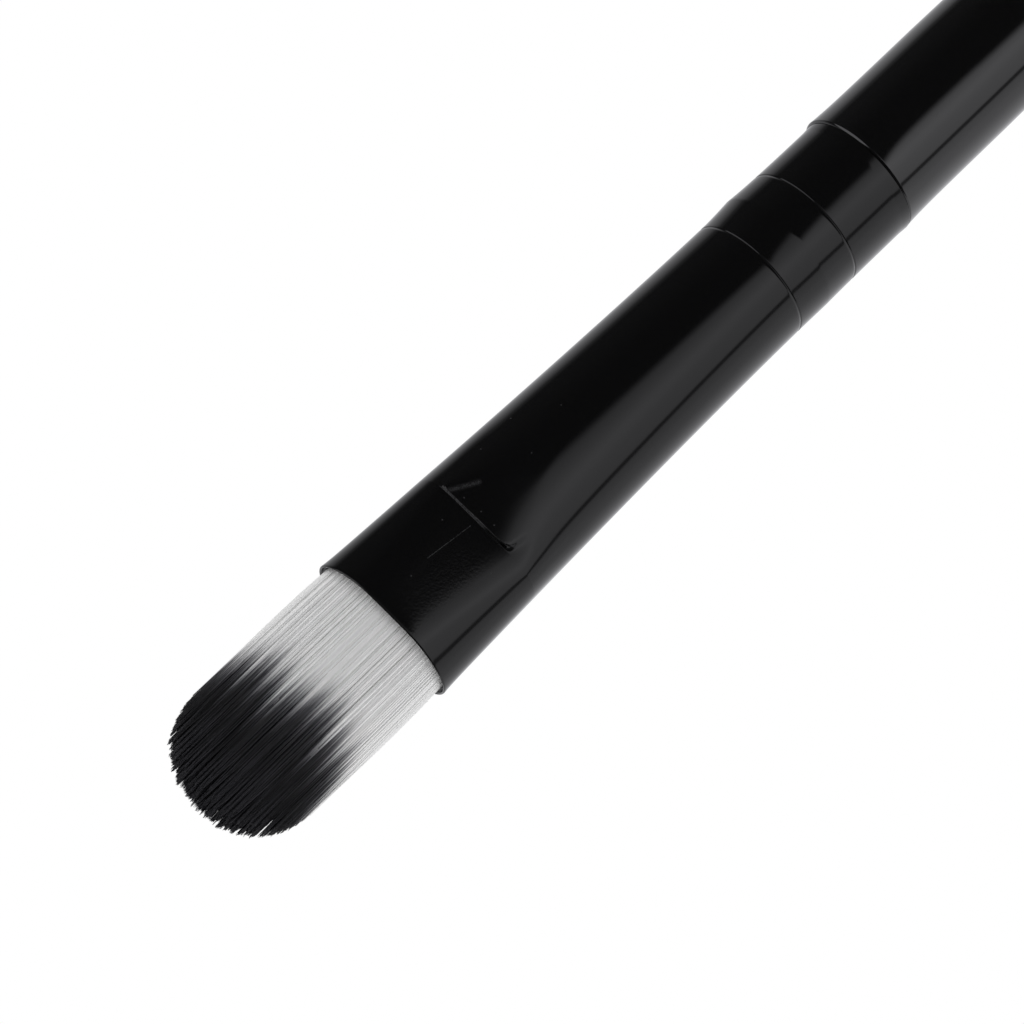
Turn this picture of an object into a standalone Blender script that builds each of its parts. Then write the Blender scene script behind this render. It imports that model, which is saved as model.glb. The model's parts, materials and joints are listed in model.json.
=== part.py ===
"""A flat-oval brush for stencilling and soft blending: a lacquered wooden handle, a round metal
ferrule pressed oval at its mouth, and a domed tuft of filaments held by thread, resin and glue.

Metres, +Z up. The brush lies on a table on its handle's bead and butt, with its tip towards -X
and the face of its tuft upwards. The origin is under the middle of the brush.

Every piece is modelled along the brush's own axis: station 0 is the ferrule's mouth, stations
grow towards the butt, and the tuft reaches out to negative stations. Y is the brush's width.
"""

import math
import random

import bmesh
import bpy
from mathutils import Vector
from mathutils.geometry import delaunay_2d_cdt

MM = 0.001

# The ferrule: a thin tube, still round where it grips the handle.
TUBE_RADIUS = 4.0 * MM
WALL = 0.35 * MM
FERRULE_LENGTH = 39.3 * MM
MOUTH_HALF_WIDTH = 4.87 * MM
TAPER_LENGTH = 30.3 * MM
TAPER_POWER = 1.5
SPRING_BACK = 0.394 * MM
LIP_FLARE = 0.05 * MM
LIP_LENGTH = 0.5 * MM
LIP_ROUND = 0.12 * MM

# The press flattened both faces, a little turned from the tuft's, and its back edge left a crease
# across each. The tube stands up in a low step there and is round again soon behind it.
CREASE_STATION = 7.75 * MM
CREASE_WIDTH = 0.1 * MM
FACE_TURN = math.radians(7.5)
FACE_DEPTH = 0.306 * MM
CREASE_DEPTH = 0.425 * MM
CREASE_FADE = 2.5 * MM
FACE_BLEND = 0.67
STEP_TURN = math.radians(4.4)
STEP_DEPTH = 0.116 * MM
STEP_FADE = 2.55 * MM
STEP_FADE_POWER = 1.67
STEP_BLEND = 0.28
FRONT_SQUARENESS = -0.6
CREASE_SQUARENESS = 0.84
SQUARE_FADE_FRONT = 6.9 * MM
SQUARE_FADE_BACK = 2.2 * MM

# Two rings rolled into the round end lock the handle. Between them the tube swells to a low ridge,
# and behind it is a little slimmer.
RING_STATIONS = (30.3 * MM, 34.9 * MM)
RING_DEPTH = 0.1 * MM
RING_HALF_WIDTH = 0.16 * MM
RIDGE_START = 30.5 * MM
RIDGE_STATION = 32.5 * MM
RIDGE_HEIGHT = 0.06 * MM
RIDGE_FADE = 2.0 * MM
REAR_SLIMMING = 0.04 * MM

# The handle, turned from one piece of wood.
GRIP_RADIUS = 3.95 * MM
GRIP_TAPER_START = 48.0 * MM
BEAD_HEIGHT = 0.11 * MM
BEAD_FADE = 1.3 * MM
BEAD_ROUND = 0.25 * MM
BUTT_RADIUS = 3.2 * MM
BUTT_ROUND = 3.2 * MM
BUTT_FLAT_RADIUS = 1.5 * MM
HANDLE_END = 145.0 * MM
TENON_FRONT = 28.0 * MM
TENON_CHAMFER = 0.6 * MM

# The tuft: filaments on a block of packed roots, whose neck the thread draws in.
TUFT_OUT = 15.0 * MM
DOME_LENGTH = 4.9 * MM
FACE_STEP = 1.2 * MM
LENGTH_SPREAD = 0.3 * MM
FILAMENT_PITCH = 0.336 * MM
FILAMENT_RADIUS = 0.15 * MM
TIP_TAPER = 0.55
ROOT_FRONT = 1.5 * MM
ROOT_BACK = 9.5 * MM
MIDDLE_STATION = -6.5 * MM
ROOT_FIELD = (4.22 * MM, 2.52 * MM)
MIDDLE_FIELD = (4.69 * MM, 2.62 * MM)
TIP_FIELD = (4.66 * MM, 1.3 * MM)
NECK_SIZE = (2.9 * MM, 1.8 * MM)
NECK_END = 14.3 * MM

# What holds the roots, and the handle's tenon.
THREAD_RADIUS = 0.2 * MM
THREAD_TURNS = 4
THREAD_PITCH = 0.9 * MM
THREAD_START = 10.3 * MM
PLUG_BACK = 21.0 * MM
POCKET_SIZE = (3.45 * MM, 2.4 * MM)
GLUE_THICKNESS = 0.15 * MM
GLUE_FRONT = 28.8 * MM
GLUE_BACK = 38.8 * MM
FIT_GAP = 0.05 * MM

FERRULE_SEGMENTS = 40
HANDLE_SEGMENTS = 36
INNER_SEGMENTS = 32
GLUE_SEGMENTS = 24
THREAD_POINTS_PER_TURN = 24
LEAST_STEP = 0.1 * MM


# ---- The ferrule's shape, which everything inside it follows ----


def half_width(x):
    """Half the tube's width at station x: its radius, spreading evenly towards the mouth."""
    spread = max(0.0, 1.0 - x / TAPER_LENGTH) ** TAPER_POWER
    return TUBE_RADIUS + (MOUTH_HALF_WIDTH - TUBE_RADIUS) * spread


def half_thickness(x):
    """Half its thickness there: pressing doesn't stretch the tube, so its girth hardly changes,
    and its flanks spring back a little when the press opens."""
    width = half_width(x)
    thickness = 2 * TUBE_RADIUS - width
    for _ in range(4):
        flatness = ((width - thickness) / (width + thickness)) ** 2
        thickness = 2 * TUBE_RADIUS / (1 + flatness / 4) - width
    return thickness + SPRING_BACK * max(0.0, 1.0 - x / TAPER_LENGTH)


def squareness(x):
    """How far the section is from an ellipse: squarer at the crease, softer at the mouth."""
    away = abs(x - CREASE_STATION)
    if x < CREASE_STATION:
        fade = math.exp(-away / SQUARE_FADE_FRONT)
        return FRONT_SQUARENESS + (CREASE_SQUARENESS - FRONT_SQUARENESS) * fade
    return CREASE_SQUARENESS * math.exp(-away / SQUARE_FADE_BACK)


def pressing(x):
    """How deep the press left each face at station x, how far turned, and how softly rounded."""
    away = abs(x - CREASE_STATION)
    depth = FACE_DEPTH + (CREASE_DEPTH - FACE_DEPTH) * math.exp(-away / CREASE_FADE)
    front = (depth, FACE_TURN, FACE_BLEND)
    back = (STEP_DEPTH * math.exp(-((away / STEP_FADE) ** STEP_FADE_POWER)), STEP_TURN, STEP_BLEND)
    behind = min(max((x - CREASE_STATION) / CREASE_WIDTH, 0.0), 1.0)
    return [a + (b - a) * behind for a, b in zip(front, back)]


def ridge(x):
    """Change of radius from the ridge between the rings and the slimmer tube behind it."""
    if x < RIDGE_STATION:
        rise = max(0.0, x - RIDGE_START) / (RIDGE_STATION - RIDGE_START)
        return RIDGE_HEIGHT * rise**1.5
    fall = math.exp((RIDGE_STATION - x) / RIDGE_FADE)
    return (RIDGE_HEIGHT + REAR_SLIMMING) * fall - REAR_SLIMMING


def rolled(x):
    """Change of radius at station x from the flared lip, the two rings and the ridge."""
    lip = LIP_FLARE * math.exp(-x / LIP_LENGTH)
    rings = sum(max(0.0, 1 - abs(x - ring) / RING_HALF_WIDTH) for ring in RING_STATIONS)
    return lip + ridge(x) - RING_DEPTH * rings


def softly_limited(height, limit, blend):
    """The smaller of two heights, with a rounded turn between them."""
    overlap = max(blend - abs(height - limit), 0.0) / blend
    return min(height, limit) - overlap**2 * blend / 4


def power(value, exponent):
    """A power that keeps the value's sign."""
    return math.copysign(abs(value) ** exponent, value)


def section(x, inset, count):
    """A ring of points round the ferrule's section at station x, this far inside its skin. The
    further inside, the further back its crease lies, so that the wall keeps its thickness."""
    width = half_width(x) + rolled(x) - inset
    height = half_thickness(x) + rolled(x) - inset
    depth, face_turn, blend = pressing(x - inset)
    bend = 2 / (2 + squareness(x - inset))
    facing = Vector((0, math.sin(face_turn), math.cos(face_turn)))
    limit = math.hypot(width * facing.y, height * facing.z) - depth
    ring = []
    for i in range(count):
        angle = 2 * math.pi * i / count
        y = width * power(math.cos(angle), bend)
        z = height * power(math.sin(angle), bend)
        point = Vector((x, y, z))
        rise = point.dot(facing)
        lowered = softly_limited(abs(rise), limit, blend * depth + 0.001 * MM)
        ring.append(point + facing * (math.copysign(lowered, rise) - rise))
    return ring


def oval(x, size, count):
    """A ring of points round a plain oval of these half sizes at station x."""
    turn = 2 * math.pi / count
    return [
        Vector((x, size[0] * math.cos(turn * i), size[1] * math.sin(turn * i)))
        for i in range(count)
    ]


def even_stations(start, end, steps):
    return [start + (end - start) * i / steps for i in range(steps + 1)]


def stations(start, end):
    """The stations from start to end, close together at the crease, the rings and the ridge.
    Pieces that fit inside one another share them, so that their walls stay parallel."""
    found = [CREASE_STATION + step * MM for step in (-2.2, -0.9, 0.8, 1.9, 3.6)]
    for inset in (0.0, WALL, WALL + FIT_GAP):
        found += [CREASE_STATION + inset, CREASE_STATION + inset + CREASE_WIDTH]
    found += [CREASE_STATION / 2, *even_stations(13.5 * MM, 28.5 * MM, 4)]
    found += [RIDGE_STATION + step * MM for step in (-1.2, -0.5, 0, 0.6, 1.4, 3.4, 4.6)]
    for ring in RING_STATIONS:
        found += [ring - RING_HALF_WIDTH, ring, ring + RING_HALF_WIDTH]
    inside = [x for x in found if start + LEAST_STEP < x < end - LEAST_STEP]
    return [start, *sorted(inside), end]


def walls(start, end, inset, count):
    """The rings of a wall that follows the ferrule from one station to another."""
    return [section(x, inset, count) for x in stations(start, end)]


# ---- Making solids ----


def add_solid(name, skin, material, axis):
    """Turns a closed bmesh into a named object on the brush's axis."""
    bmesh.ops.recalc_face_normals(skin, faces=skin.faces[:])
    mesh = bpy.data.meshes.new(name)
    skin.to_mesh(mesh)
    skin.free()
    mesh.shade_smooth()
    mesh.set_sharp_from_angle(angle=math.radians(35))
    mesh.materials.append(material)
    solid = bpy.data.objects.new(name, mesh)
    bpy.context.scene.collection.objects.link(solid)
    solid.parent = axis
    return solid


def join_rings(skin, here, there):
    """Fills the band between two rings of vertices."""
    for i in range(len(here)):
        j = (i + 1) % len(here)
        skin.faces.new((here[i], here[j], there[j], there[i]))


def loft(rings, closed=False):
    """Skins a row of rings. A closed loft joins its last ring to its first, as a tube's wall does,
    and an open one gets a flat cap at each end."""
    skin = bmesh.new()
    rows = [[skin.verts.new(point) for point in ring] for ring in rings]
    for here, there in zip(rows, rows[1:]):
        join_rings(skin, here, there)
    if closed:
        join_rings(skin, rows[-1], rows[0])
    else:
        skin.faces.new(rows[0])
        skin.faces.new(rows[-1])
    return skin


def turn_on_lathe(profile, segments):
    """Spins a profile of (station, radius) points about the axis and closes both ends flat."""
    turned = bmesh.new()
    points = [turned.verts.new((x, 0, radius)) for x, radius in profile]
    edges = [turned.edges.new(pair) for pair in zip(points, points[1:])]
    bmesh.ops.spin(
        turned,
        geom=points + edges,
        axis=(1, 0, 0),
        cent=(0, 0, 0),
        angle=2 * math.pi,
        steps=segments,
        use_merge=True,
    )
    bmesh.ops.holes_fill(turned, edges=[edge for edge in turned.edges if edge.is_boundary])
    return turned


def finish(name, colour, roughness, metallic=0.0):
    """A plain Principled material."""
    material = bpy.data.materials.new(name)
    material.use_nodes = True
    shader = material.node_tree.nodes["Principled BSDF"]
    shader.inputs["Base Color"].default_value = (*colour, 1.0)
    shader.inputs["Roughness"].default_value = roughness
    shader.inputs["Metallic"].default_value = metallic
    return material


# ---- The ferrule ----


def make_ferrule(axis):
    """The metal tube: the rounded lip, the outer skin to the back edge, and the inner skin."""
    count = FERRULE_SEGMENTS
    lip = [section(0.0, LIP_ROUND, count), section(0.3 * LIP_ROUND, 0.3 * LIP_ROUND, count)]
    outer = walls(LIP_ROUND, FERRULE_LENGTH, 0.0, count)
    inner = walls(LIP_ROUND, FERRULE_LENGTH, WALL, count)
    mouth = section(0.0, WALL - 0.5 * LIP_ROUND, count)
    skin = loft([*lip, *outer, *reversed(inner), mouth], closed=True)
    return add_solid("ferrule", skin, finish("ferrule_black", (0.004,) * 3, 0.12, 0.3), axis)


# ---- The handle and its glue ----


def tenon_radius(x):
    """The rolled rings press the wood in as well, through the film of glue."""
    return TUBE_RADIUS - WALL - GLUE_THICKNESS - 2 * FIT_GAP + rolled(x)


def quarter_round(start, radius, reach, steps):
    """Profile points of a corner that turns from facing the mouth to facing outwards."""
    return [
        (start + reach * (1 - math.cos(turn)), radius + reach * (math.sin(turn) - 1))
        for turn in even_stations(0.0, math.pi / 2, steps)
    ]


def grip_radius(x):
    """A bead against the ferrule, a parallel grip, and an even taper to the butt."""
    bead = BEAD_HEIGHT * math.exp((FERRULE_LENGTH - x) / BEAD_FADE)
    taper = max(0.0, x - GRIP_TAPER_START) / (HANDLE_END - BUTT_ROUND - GRIP_TAPER_START)
    return GRIP_RADIUS + bead + (BUTT_RADIUS - GRIP_RADIUS) * taper


def make_handle(axis):
    """Tenon, shoulder, beaded grip and rounded butt, in one piece."""
    shoulder = FERRULE_LENGTH + FIT_GAP
    grip_start = shoulder + BEAD_ROUND
    grip_end = HANDLE_END - BUTT_ROUND
    profile = [(TENON_FRONT, tenon_radius(TENON_FRONT) - TENON_CHAMFER)]
    profile += [(x, tenon_radius(x)) for x in stations(TENON_FRONT + TENON_CHAMFER, shoulder)]
    profile += quarter_round(shoulder, grip_radius(grip_start), BEAD_ROUND, 3)
    for step in (0.6, 1.3, 2.4, 4.5):
        profile.append((grip_start + step * MM, grip_radius(grip_start + step * MM)))
    for x in even_stations(GRIP_TAPER_START, grip_end, 7):
        profile.append((x, grip_radius(x)))
    for turn in even_stations(0.0, math.pi / 2, 6)[1:]:
        reach = BUTT_RADIUS - BUTT_FLAT_RADIUS
        x = grip_end + BUTT_ROUND * math.sin(turn)
        profile.append((x, BUTT_FLAT_RADIUS + reach * math.cos(turn)))
    skin = turn_on_lathe(profile, HANDLE_SEGMENTS)
    return add_solid("handle", skin, finish("handle_black", (0.004,) * 3, 0.1), axis)


def make_tenon_adhesive(axis):
    """The film of glue between tenon and ferrule."""
    inset = WALL + FIT_GAP
    outer = walls(GLUE_FRONT, GLUE_BACK, inset, GLUE_SEGMENTS)
    inner = walls(GLUE_FRONT, GLUE_BACK, inset + GLUE_THICKNESS, GLUE_SEGMENTS)
    skin = loft([*outer, *reversed(inner)], closed=True)
    return add_solid("tenon_adhesive", skin, finish("glue_amber", (0.55, 0.4, 0.18), 0.4), axis)


# ---- The tuft and what binds it ----


def field_size(x):
    """Half size of the field of filaments at station x: one straight run from the roots to the
    fullest part of the tuft, and another from there to the tip."""
    if x > MIDDLE_STATION:
        near, far = ROOT_FIELD, MIDDLE_FIELD
        share = (ROOT_FRONT - x) / (ROOT_FRONT - MIDDLE_STATION)
    else:
        near, far = MIDDLE_FIELD, TIP_FIELD
        share = (MIDDLE_STATION - x) / (MIDDLE_STATION + TUFT_OUT)
    return [a + (b - a) * share for a, b in zip(near, far)]


def filament_places():
    """A honeycomb of places in the field, each as shares of the field's half width and height."""
    width, height = ROOT_FIELD
    row_height = FILAMENT_PITCH * math.sqrt(3) / 2
    rows = int(height / row_height)
    columns = int(width / FILAMENT_PITCH) + 1
    places = []
    for row in range(-rows, rows + 1):
        shift = FILAMENT_PITCH / 2 * (row % 2)
        for column in range(-columns, columns + 1):
            y, z = column * FILAMENT_PITCH + shift, row * row_height
            if math.hypot(y / width, z / height) <= 1:
                places.append((y / width, z / height))
    return places


def filament_ring(place, x, radius, turn):
    """The three corners of a filament at station x."""
    size = field_size(x)
    y, z = place[0] * size[0], place[1] * size[1]
    corners = [turn + 2 * math.pi * i / 3 for i in range(3)]
    return [Vector((x, y + radius * math.cos(a), z + radius * math.sin(a))) for a in corners]


def tip_station(place, chance):
    """Where a filament ends: on the dome, which is round in plan, with the faces cut back a
    little and no two filaments quite alike."""
    dome = 1 - math.sqrt(max(0.0, 1 - place[0] ** 2))
    shorter = DOME_LENGTH * dome + FACE_STEP * place[1] ** 2
    return -TUFT_OUT + shorter + chance.uniform(0.0, LENGTH_SPREAD)


def face_of_roots(skin, outline, bases):
    """Fills the block's front round the filaments' bases, and returns the vertices of the outline
    and of the bases. The triangulation works in millimetres."""
    points = [point.yz / MM for ring in (outline, *bases) for point in ring]
    starts = [0] + [len(outline) + 3 * i for i in range(len(bases) + 1)]
    loops = [list(range(a, b)) for a, b in zip(starts, starts[1:])]
    coords, _, faces, origins, _, sources = delaunay_2d_cdt(points, [], loops, 1, 1e-6)
    verts = [skin.verts.new((ROOT_FRONT, y * MM, z * MM)) for y, z in coords]
    for face, source in zip(faces, sources):
        if max(source) == 0:
            skin.faces.new([verts[i] for i in face])
    vertex_of = {start: verts[i] for i, starts in enumerate(origins) for start in starts}
    rings = [[vertex_of[i] for i in loop] for loop in loops]
    return rings[0], rings[1:]


def make_tuft(axis):
    """Filaments that rise from a block of packed roots, and the neck that the thread binds."""
    chance = random.Random(11)
    places = filament_places()
    turns = [chance.uniform(0.0, 2 * math.pi) for _ in places]
    skin = bmesh.new()
    block = walls(ROOT_FRONT, ROOT_BACK, WALL + FIT_GAP, INNER_SEGMENTS)
    bases = [
        filament_ring(place, ROOT_FRONT, FILAMENT_RADIUS, turn)
        for place, turn in zip(places, turns)
    ]
    outline, base_rings = face_of_roots(skin, block[0], bases)

    for place, turn, base in zip(places, turns, base_rings):
        tip = tip_station(place, chance)
        middle = filament_ring(place, MIDDLE_STATION, FILAMENT_RADIUS, turn)
        end = filament_ring(place, tip, FILAMENT_RADIUS * TIP_TAPER, turn)
        middle, end = [[skin.verts.new(point) for point in ring] for ring in (middle, end)]
        join_rings(skin, base, middle)
        join_rings(skin, middle, end)
        skin.faces.new(end)

    neck = [oval(x, NECK_SIZE, INNER_SEGMENTS) for x in (ROOT_BACK, NECK_END)]
    rows = [outline] + [[skin.verts.new(p) for p in ring] for ring in (*block[1:], *neck)]
    for here, there in zip(rows, rows[1:]):
        join_rings(skin, here, there)
    skin.faces.new(rows[-1])
    print("filaments:", len(places))
    return add_solid("tuft", skin, finish("filament_white", (0.62, 0.62, 0.61), 0.5), axis)


def least_gap(path, apart):
    """The least distance between points of a path that lie at least this many points apart."""
    return min(
        (there - here).length
        for i, here in enumerate(path)
        for there in path[i + apart :]
    )


def make_binding_thread(axis):
    """A thread wound round the neck of the roots."""
    width, height = NECK_SIZE
    along = Vector((1, 0, 0))
    path, rings = [], []
    for i in range(THREAD_TURNS * THREAD_POINTS_PER_TURN + 1):
        turns = i / THREAD_POINTS_PER_TURN
        y, z = math.cos(2 * math.pi * turns), math.sin(2 * math.pi * turns)
        out = Vector((0, y / width, z / height)).normalized()
        on_neck = Vector((THREAD_START + THREAD_PITCH * turns, y * width, z * height))
        centre = on_neck + out * (THREAD_RADIUS + FIT_GAP)
        corners = [math.pi / 3 * corner for corner in range(6)]
        ring = [out * math.cos(corner) + along * math.sin(corner) for corner in corners]
        rings.append([centre + THREAD_RADIUS * spoke for spoke in ring])
        path.append(centre)
    gap = least_gap(path, THREAD_POINTS_PER_TURN // 2) - 2 * THREAD_RADIUS
    print("least gap between the thread's turns, mm:", round(gap / MM, 3))
    return add_solid("binding_thread", loft(rings), finish("thread", (0.6, 0.56, 0.46), 0.8), axis)


def make_root_plug(axis):
    """The resin poured in behind the roots, with the pocket that the bound neck leaves in it."""
    count = INNER_SEGMENTS
    front = ROOT_BACK + FIT_GAP
    pocket = [oval(x, POCKET_SIZE, count) for x in (NECK_END + 2 * FIT_GAP, front)]
    outer = walls(front, PLUG_BACK, WALL + FIT_GAP, count)
    skin = loft([*pocket, *outer])
    return add_solid("root_plug", skin, finish("resin", (0.5, 0.42, 0.25), 0.3), axis)


# ---- The brush ----


def lie_down(axis, solids):
    """Leans the axis until the handle's bead and the end of its taper are level, then puts the
    origin on the table under the middle of the brush."""
    bead_station = FERRULE_LENGTH + FIT_GAP + BEAD_ROUND
    length = HANDLE_END - BUTT_ROUND - bead_station
    axis.rotation_euler.y = math.atan2(grip_radius(bead_station) - BUTT_RADIUS, length)
    bpy.context.view_layer.update()
    points = [solid.matrix_world @ v.co for solid in solids for v in solid.data.vertices]
    low, high = ([pick(point[i] for point in points) for i in range(3)] for pick in (min, max))
    axis.location = (-(low[0] + high[0]) / 2, -(low[1] + high[1]) / 2, -low[2])


def main():
    for old in list(bpy.data.objects):
        bpy.data.objects.remove(old)
    axis = bpy.data.objects.new("brush_axis", None)
    bpy.context.scene.collection.objects.link(axis)
    solids = [
        make_ferrule(axis),
        make_handle(axis),
        make_tenon_adhesive(axis),
        make_tuft(axis),
        make_binding_thread(axis),
        make_root_plug(axis),
    ]
    lie_down(axis, solids)


main()
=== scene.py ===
import json
import math

import bpy
from mathutils import Matrix, Vector


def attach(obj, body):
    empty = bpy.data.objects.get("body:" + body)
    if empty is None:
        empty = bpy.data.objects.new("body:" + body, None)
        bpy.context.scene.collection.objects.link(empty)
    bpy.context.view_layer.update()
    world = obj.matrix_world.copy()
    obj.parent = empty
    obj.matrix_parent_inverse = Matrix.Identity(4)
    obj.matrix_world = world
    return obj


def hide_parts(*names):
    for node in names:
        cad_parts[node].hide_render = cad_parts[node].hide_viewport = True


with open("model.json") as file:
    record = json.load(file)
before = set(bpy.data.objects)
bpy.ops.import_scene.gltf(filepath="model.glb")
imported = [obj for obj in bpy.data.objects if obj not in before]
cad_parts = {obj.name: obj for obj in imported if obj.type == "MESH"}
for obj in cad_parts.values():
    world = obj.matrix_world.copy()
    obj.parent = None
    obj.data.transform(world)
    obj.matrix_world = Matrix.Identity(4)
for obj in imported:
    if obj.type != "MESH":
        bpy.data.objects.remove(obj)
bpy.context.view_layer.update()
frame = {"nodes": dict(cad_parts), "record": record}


# ---- The tuft --------------------------------------------------------------------------------
# Some seven thousand tapered nylon filaments, white, cupped to a dome and then dipped in black dye
# at the tips. The dye has crept up between the filaments, further in some locks than in others.
# Their roots are set solid with resin and sit inside the ferrule.

# How the brush lies: flat on the table on its handle, with the tuft's face up. Station 0 is the
# ferrule's mouth and stations grow towards the butt, so the tuft has negative ones. Every size
# along the brush below is in millimetres, and this matrix lays a finished piece in its place.
MM = 0.001
HANDLE_END = 145.0
butt = next(mount for mount in frame["record"]["mounts"] if mount["name"] == "butt_end")
along = Vector(butt["axis"]).normalized()
across = Vector((0, 1, 0))
upward = along.cross(across)
mouth_centre = Vector(butt["pos_m"]) - along * HANDLE_END * MM
laid = (Matrix.Translation(mouth_centre)
        @ Matrix((along, across, upward)).transposed().to_4x4() @ Matrix.Scale(MM, 4))


class Wire:
    """The end of a wire in a node tree. Arithmetic on it adds the Math nodes that work it out."""

    def __init__(self, bench, socket):
        self.bench = bench
        self.socket = socket

    def math(self, operation, *others):
        inputs = dict(enumerate((self, *others)))
        return self.bench.add("ShaderNodeMath", {"operation": operation}, inputs)

    def behind(self, operation, other):
        return self.bench.add("ShaderNodeMath", {"operation": operation}, {0: other, 1: self})

    def __add__(self, other):
        return self.math("ADD", other)

    def __sub__(self, other):
        return self.math("SUBTRACT", other)

    def __mul__(self, other):
        return self.math("MULTIPLY", other)

    def __truediv__(self, other):
        return self.math("DIVIDE", other)

    def __pow__(self, other):
        return self.math("POWER", other)

    def __radd__(self, other):
        return self.behind("ADD", other)

    def __rsub__(self, other):
        return self.behind("SUBTRACT", other)

    def __rmul__(self, other):
        return self.behind("MULTIPLY", other)

    def __rtruediv__(self, other):
        return self.behind("DIVIDE", other)

    def __rpow__(self, other):
        return self.behind("POWER", other)

    def __neg__(self):
        return self.math("MULTIPLY", -1.0)

    def __abs__(self):
        return self.math("ABSOLUTE")


class Bench:
    """A node tree being wired up. add() puts in one node and gives back the end of its wire."""

    def __init__(self, tree):
        self.tree = tree

    def add(self, kind, settings=None, inputs=None, output=0):
        node = self.tree.nodes.new(kind)
        for name, value in (settings or {}).items():
            if name == "stops":
                stops = node.color_ramp.elements
                while len(stops) < len(value):
                    stops.new(0.5)
                for stop, (position, colour) in zip(stops, value):
                    stop.position = position
                    stop.color = (*colour, 1)
            elif name == "curve":
                points = node.mapping.curves[0].points
                while len(points) < len(value):
                    points.new(0.5, 0.5)
                for point, place in zip(points, value):
                    point.location = place
                node.mapping.update()
            else:
                setattr(node, name, value)
        for name, value in (inputs or {}).items():
            sockets = [node.inputs[name]] if isinstance(name, int) else [
                socket for socket in node.inputs
                if socket.enabled and name in (socket.name, socket.identifier)]
            if isinstance(value, Wire):
                self.tree.links.new(value.socket, sockets[0])
            else:
                sockets[0].default_value = value
        ends = [socket for socket in node.outputs if socket.enabled]
        if isinstance(output, str):
            ends = [socket for socket in ends if socket.name == output]
            output = 0
        return Wire(self, ends[output])

    def vector(self, x, y, z):
        return self.add("ShaderNodeCombineXYZ", None, {"X": x, "Y": y, "Z": z})

    def parts(self, vector):
        split = self.add("ShaderNodeSeparateXYZ", None, {"Vector": vector})
        return [Wire(self, end) for end in split.socket.node.outputs]

    def ramp(self, value, low, high, start=0.0, end=1.0, smooth=True):
        way = "SMOOTHSTEP" if smooth else "LINEAR"
        return self.add("ShaderNodeMapRange", {"interpolation_type": way, "clamp": True}, {
            "Value": value, "From Min": low, "From Max": high, "To Min": start, "To Max": end})

    def noise(self, vector, scale, detail=2.0, roughness=0.5):
        return self.add("ShaderNodeTexNoise", None, {
            "Vector": vector, "Scale": scale, "Detail": detail, "Roughness": roughness})


FILAMENTS = 7200
PIECES = 3
CROWDING = 0.43
STANDING_LUCK = 0.02
FILAMENT_POINTS = 10
FILAMENT_SIDES = 4
POINTS_TOWARDS_TIP = 1.25
TAPER_FROM = 0.5
TIP_WIDTH = 0.12
CHISEL_POWER = 3.0
LOCK_FLATNESS = 0.4
LOCK_REACH_LUCK = 0.3
REACH_LUCK = 0.2
RELEASE = 0.085
RELEASE_RATE = 15.0
DRIFT_ACROSS, DRIFT_THROUGH, DRIFT_ALONG = 7.0, 4.0, 1.3
SIDE_LUCK = 0.03
PULL_START = 0.82
PULL_SIDES = (0.98, 0.85)
tuft_sizes = {
    "Total": FILAMENTS,
    "Radius": 0.083,
    "Root": 1.4,
    "Mouth half width": 4.42,
    "Mouth half thickness": 2.62,
    "Fan": 0.12,
    "Belly": 0.25,
    "Thinning": 2.2,
    "Dome start": 10.3,
    "Dome length": 4.25,
    "Chisel": 0.9,
    "Reach": 15.0,
    "Wander": 0.16,
    "Lock pitch": 0.3,
    "Lock pull": 0.5,
}

# How far beyond the mouth the dye starts, from one side of the face (0) to the other (1).
DYE_LINE = (
    (0, 12), (0.01, 11.3), (0.04, 9.7), (0.07, 9.1), (0.1, 8.5), (0.13, 8.6), (0.163, 8.4),
    (0.224, 8.1), (0.255, 8.5), (0.285, 7.8), (0.35, 7.85), (0.377, 8.1), (0.44, 7.6), (0.5, 8.1),
    (0.53, 8.2), (0.56, 7.8), (0.59, 8.1), (0.623, 8.6), (0.684, 8.3), (0.745, 8.2),
    (0.776, 8), (0.837, 7.8), (0.868, 8.4), (0.9, 7.8), (0.96, 8.5), (1, 9))
DYE_FARTHEST = 15.0
PATCH_ACROSS, PATCH_THROUGH = 12.0, 5.0
PATCH_CREEP = (0.2, -0.4, 0.3, 3.0)
LOCK_CREEP = 0.5
FILAMENT_CREEP = 1.6
STRAY_FROM = 0.98
STRAY_RATE = 300.0


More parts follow.
